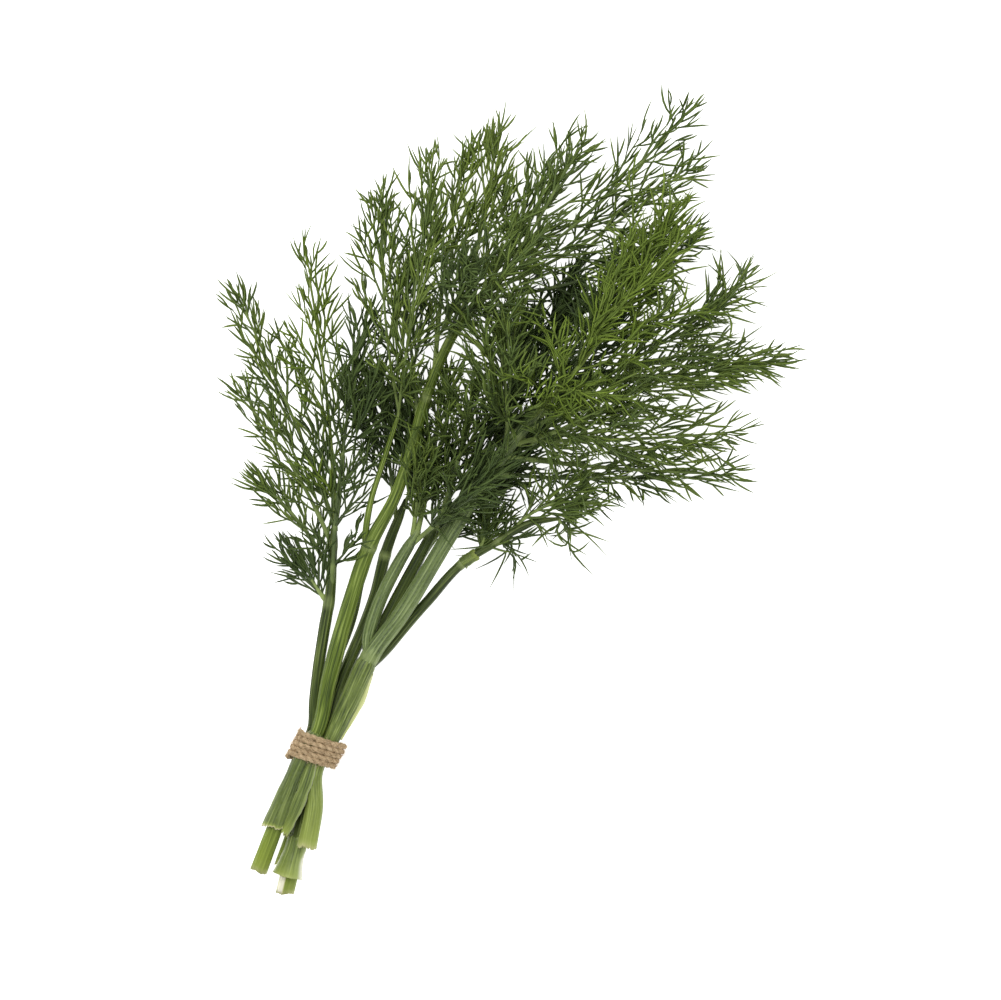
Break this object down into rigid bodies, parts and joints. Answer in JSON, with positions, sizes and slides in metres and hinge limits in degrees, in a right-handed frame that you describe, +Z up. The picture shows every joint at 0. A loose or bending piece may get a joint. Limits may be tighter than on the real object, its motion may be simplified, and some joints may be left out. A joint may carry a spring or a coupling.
{
  "type": "tied bunch of fennel fronds",
  "caption": "Bunch of fresh feathery green herb fronds on ribbed stalks, lying on its side and tied near the cut ends with jute twine.",
  "frame": {"origin": "on the surface that the bunch lies on, under the middle of its bounding box", "axes": "+Y along the bunch from the cut ends to the frond tips, +Z up from the surface, +X to the right as seen from above with the tips ahead"},
  "size_m": [0.211, 0.3372, 0.0428],
  "materials": {
    "stalk_bright": "satin",
    "stalk_deep": "satin",
    "stalk_bloomed": "matte",
    "sheath": "satin",
    "membrane": "satin",
    "frond_fresh": "matte",
    "frond_green": "matte",
    "frond_dark": "matte",
    "jute_twine": "matte"
  },
  "bodies": {
    "root": {"frond_crown_1": "frond_fresh", "frond_crown_10": "frond_green", "frond_crown_11": "frond_green", "frond_crown_2": "frond_green", "frond_crown_3": "frond_green", "frond_crown_4": "frond_green", "frond_crown_5": "frond_green", "frond_crown_6": "frond_green", "frond_crown_7": "frond_green", "frond_crown_8": "frond_green", "frond_crown_9": "frond_green", "frond_left_1": "frond_green", "frond_left_2": "frond_green", "frond_left_3": "frond_green", "frond_left_4": "frond_green", "frond_left_5": "frond_fresh", "frond_left_6": "frond_green", "frond_low_1": "frond_green", "frond_low_2": "frond_green", "frond_low_3": "frond_green", "frond_low_4": "frond_green", "frond_right_1": "frond_green", "frond_right_2": "frond_green", "frond_right_3": "frond_green", "frond_right_4": "frond_green", "frond_tip_1": "frond_green", "frond_tip_2": "frond_green", "frond_tip_3": "frond_green", "frond_tip_4": "frond_green", "frond_top_1": "frond_green", "frond_top_2": "frond_green", "frond_top_3": "frond_green", "frond_top_4": "frond_green", "frond_top_5": "frond_green", "frond_top_6": "frond_green", "frond_under_1": "frond_dark", "frond_under_2": "frond_dark", "frond_under_3": "frond_dark", "frond_under_4": "frond_dark", "jute_twine": "jute_twine", "petiole_left": "stalk_bright", "sheath_cup": "sheath", "sheath_left": "sheath", "sheath_membrane": "membrane", "sheath_middle": "sheath", "sheath_node": "sheath", "sheath_right": "sheath", "stalk_dark": "stalk_deep", "stalk_far_right": "stalk_deep", "stalk_left_back": "stalk_deep", "stalk_left_front": "stalk_bright", "stalk_middle": "stalk_deep", "stalk_right_fork": "stalk_bloomed", "stalk_right_front": "stalk_bloomed", "stalk_thin": "stalk_deep"}
  },
  "joints": []
}
